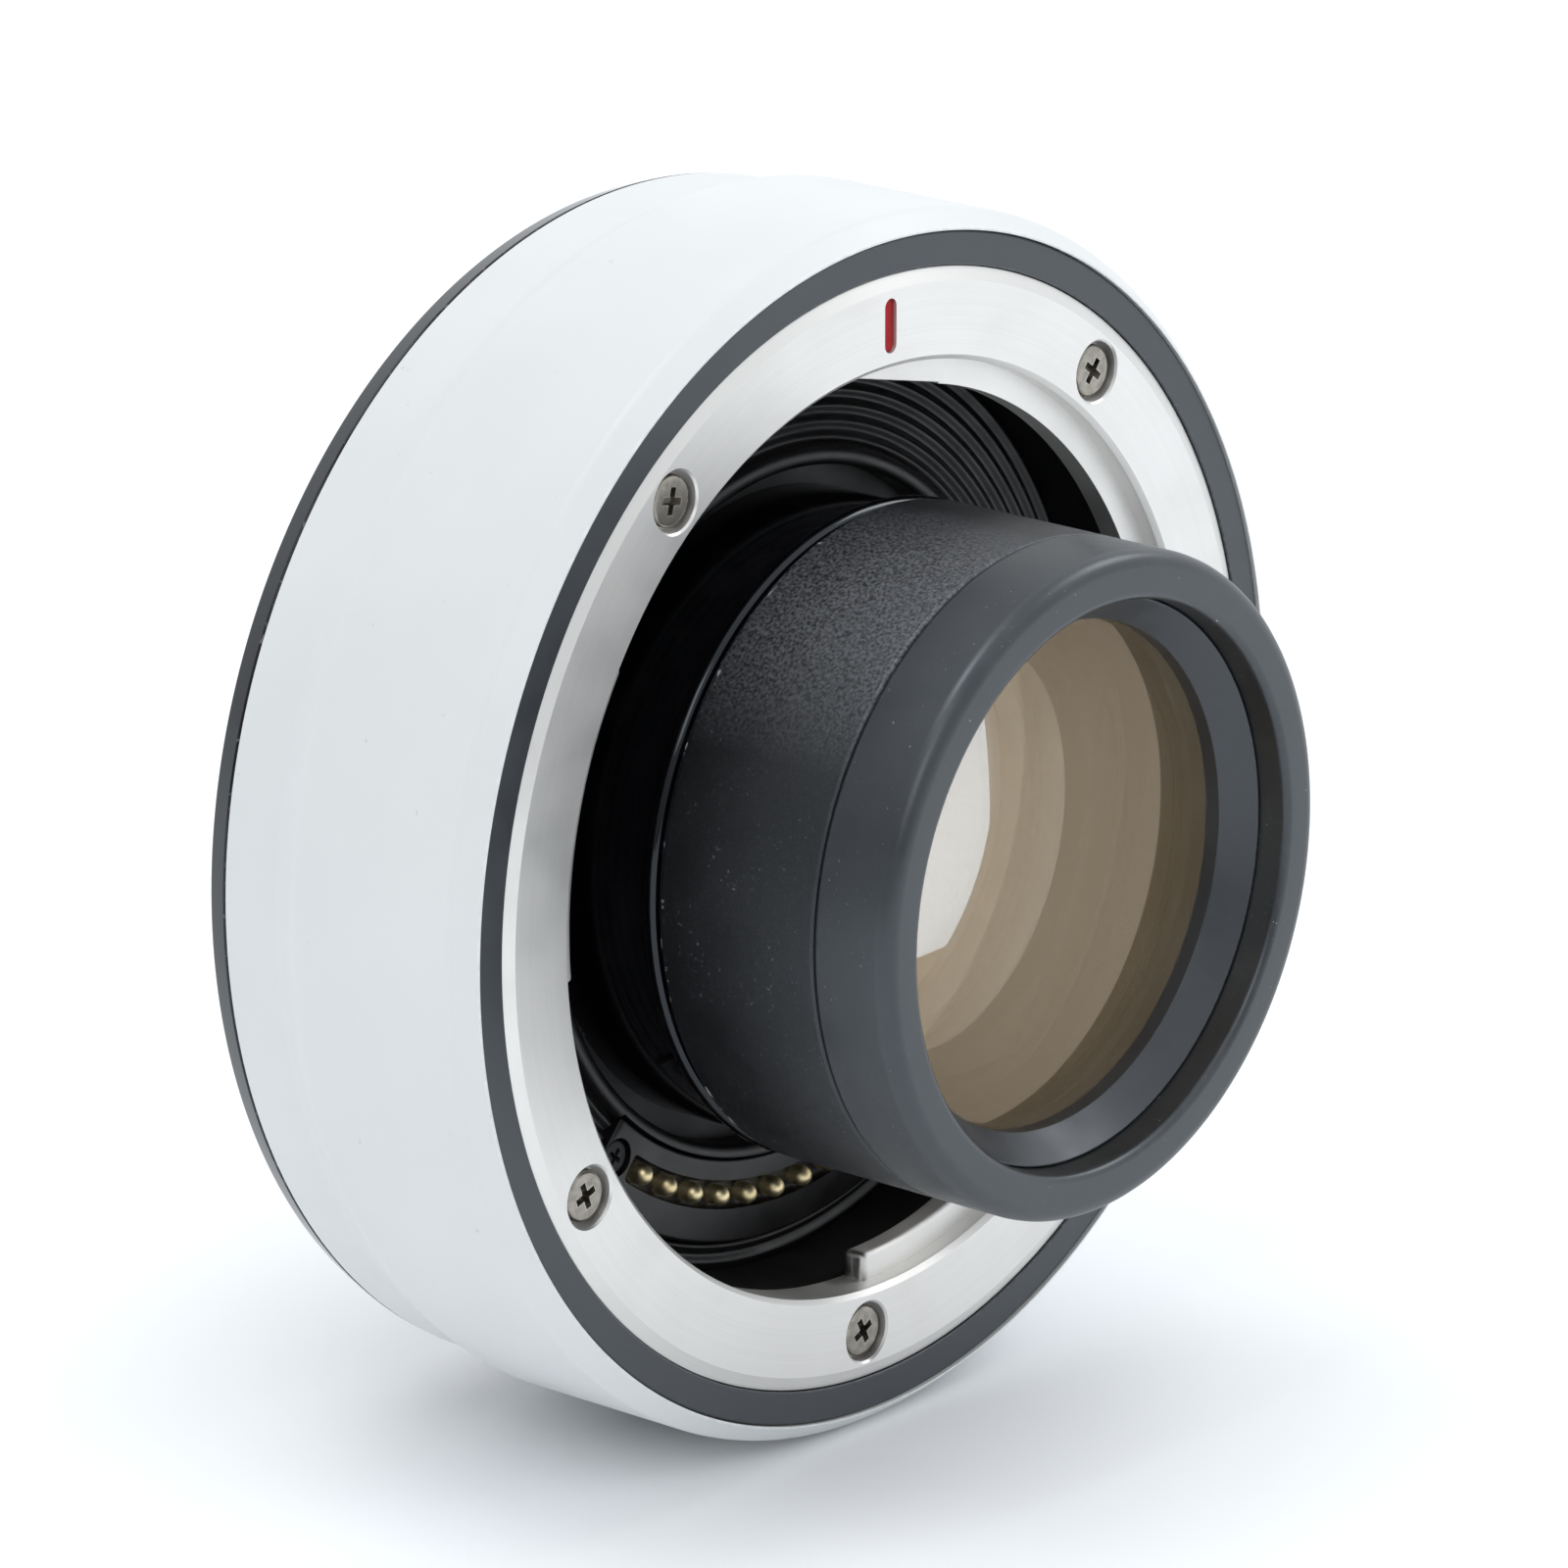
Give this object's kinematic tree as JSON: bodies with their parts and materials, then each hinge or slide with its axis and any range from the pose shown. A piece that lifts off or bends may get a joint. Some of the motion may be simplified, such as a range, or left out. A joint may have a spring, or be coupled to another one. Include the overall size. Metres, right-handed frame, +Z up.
{
  "type": "camera teleconverter",
  "caption": "Camera teleconverter: a short white ring body with a bayonet at each end, a lens barrel standing out of the front, sprung contacts and a lock pin worked by a side lever.",
  "frame": {"origin": "on the optical axis, on the seating plane of the rear flange", "axes": "+Y along the optical axis towards the camera, so the front looks along -Y; +Z up through the index mark; +X to the right as seen from the front"},
  "size_m": [0.0726, 0.0426, 0.0712],
  "materials": {
    "white_paint": "satin white paint",
    "gloss_black": "glossy black",
    "dark_grey": "matte dark grey",
    "seal_rubber": "matte black rubber",
    "black_alloy": "black anodised",
    "mount_steel": "turned and polished",
    "screw_steel": "plain",
    "spring_steel": "plain",
    "red_fill": "glossy red fill",
    "black_moulding": "matte black",
    "barrel_paint": "black with a fine texture",
    "tip_rubber": "dark grey, satin",
    "ring_paint": "dark grey",
    "lens_glass": "polished, coated",
    "gold": "gold plated",
    "circuit_board": "green resist",
    "flex_film": "amber film",
    "chip_black": "moulded",
    "lever_black": "satin black",
    "shim_brass": "rolled"
  },
  "bodies": {
    "body": {"outer_shell": "white_paint", "rear_trim_ring": "gloss_black", "barrel_base_ring": "gloss_black", "front_trim_ring": "dark_grey", "rear_seal_ring": "seal_rubber", "chassis": "black_alloy", "lens_cell": "black_alloy", "front_spacer": "black_alloy", "rear_spacer": "black_alloy", "rear_retaining_ring": "black_alloy", "front_mount_ring": "mount_steel", "rear_mount": "mount_steel", "front_mount_screws": "screw_steel", "rear_mount_screws": "screw_steel", "lens_cell_screws": "screw_steel", "front_contact_screws": "screw_steel", "board_screws": "screw_steel", "rear_contact_screws": "screw_steel", "mount_leaf_springs": "spring_steel", "lock_spring": "spring_steel", "index_mark": "red_fill", "rear_index_mark": "red_fill", "front_light_baffle": "black_moulding", "rear_light_baffle": "black_moulding", "front_contact_block": "black_moulding", "rear_contact_block": "black_moulding", "barrel_cover": "barrel_paint", "tip_ring": "tip_rubber", "front_retaining_ring": "ring_paint", "lens_element_1": "lens_glass", "lens_element_2": "lens_glass", "lens_element_3": "lens_glass", "lens_element_4": "lens_glass", "lens_element_5": "lens_glass", "lens_element_6": "lens_glass", "lens_element_7": "lens_glass", "rear_contact_pads": "gold", "contact_springs": "gold", "front_contact_board": "circuit_board", "main_board": "circuit_board", "front_flex_lead": "flex_film", "rear_flex_lead": "flex_film", "main_chip": "chip_black", "flange_shim": "shim_brass"},
    "lever": {"release_lever": "lever_black"},
    "lock_pin": {"lock_pin": "screw_steel"},
    "pin_01": {"contact_pin_01": "gold"},
    "pin_02": {"contact_pin_02": "gold"},
    "pin_03": {"contact_pin_03": "gold"},
    "pin_04": {"contact_pin_04": "gold"},
    "pin_05": {"contact_pin_05": "gold"},
    "pin_06": {"contact_pin_06": "gold"},
    "pin_07": {"contact_pin_07": "gold"},
    "pin_08": {"contact_pin_08": "gold"},
    "pin_09": {"contact_pin_09": "gold"},
    "pin_10": {"contact_pin_10": "gold"},
    "pin_11": {"contact_pin_11": "gold"},
    "pin_12": {"contact_pin_12": "gold"}
  },
  "joints": [
    {"name": "lever_turn", "type": "hinge", "parent": "body", "child": "lever", "pos_m": [0, 0, 0], "axis": [0, -1, 0], "range_deg": [0, 8]},
    {"name": "lock_pin_slide", "type": "slide", "parent": "body", "child": "lock_pin", "axis": [0, 1, 0], "range_m": [0, 0.0018], "stiffness_N_per_m": 500, "springref_m": -0.002, "deforming": ["lock_spring"]},
    {"name": "pin_01_press", "type": "slide", "parent": "body", "child": "pin_01", "axis": [0, 1, 0], "range_m": [0, 0.0006], "stiffness_N_per_m": 500, "springref_m": -0.0004},
    {"name": "pin_02_press", "type": "slide", "parent": "body", "child": "pin_02", "axis": [0, 1, 0], "range_m": [0, 0.0006], "stiffness_N_per_m": 500, "springref_m": -0.0004},
    {"name": "pin_03_press", "type": "slide", "parent": "body", "child": "pin_03", "axis": [0, 1, 0], "range_m": [0, 0.0006], "stiffness_N_per_m": 500, "springref_m": -0.0004},
    {"name": "pin_04_press", "type": "slide", "parent": "body", "child": "pin_04", "axis": [0, 1, 0], "range_m": [0, 0.0006], "stiffness_N_per_m": 500, "springref_m": -0.0004},
    {"name": "pin_05_press", "type": "slide", "parent": "body", "child": "pin_05", "axis": [0, 1, 0], "range_m": [0, 0.0006], "stiffness_N_per_m": 500, "springref_m": -0.0004},
    {"name": "pin_06_press", "type": "slide", "parent": "body", "child": "pin_06", "axis": [0, 1, 0], "range_m": [0, 0.0006], "stiffness_N_per_m": 500, "springref_m": -0.0004},
    {"name": "pin_07_press", "type": "slide", "parent": "body", "child": "pin_07", "axis": [0, 1, 0], "range_m": [0, 0.0006], "stiffness_N_per_m": 500, "springref_m": -0.0004},
    {"name": "pin_08_press", "type": "slide", "parent": "body", "child": "pin_08", "axis": [0, 1, 0], "range_m": [0, 0.0006], "stiffness_N_per_m": 500, "springref_m": -0.0004},
    {"name": "pin_09_press", "type": "slide", "parent": "body", "child": "pin_09", "axis": [0, 1, 0], "range_m": [0, 0.0006], "stiffness_N_per_m": 500, "springref_m": -0.0004},
    {"name": "pin_10_press", "type": "slide", "parent": "body", "child": "pin_10", "axis": [0, 1, 0], "range_m": [0, 0.0006], "stiffness_N_per_m": 500, "springref_m": -0.0004},
    {"name": "pin_11_press", "type": "slide", "parent": "body", "child": "pin_11", "axis": [0, 1, 0], "range_m": [0, 0.0006], "stiffness_N_per_m": 500, "springref_m": -0.0004},
    {"name": "pin_12_press", "type": "slide", "parent": "body", "child": "pin_12", "axis": [0, 1, 0], "range_m": [0, 0.0006], "stiffness_N_per_m": 500, "springref_m": -0.0004}
  ],
  "couplings": [
    {"joint": "lever_turn", "follows": "lock_pin_slide", "rad_per_m": 77.57}
  ]
}
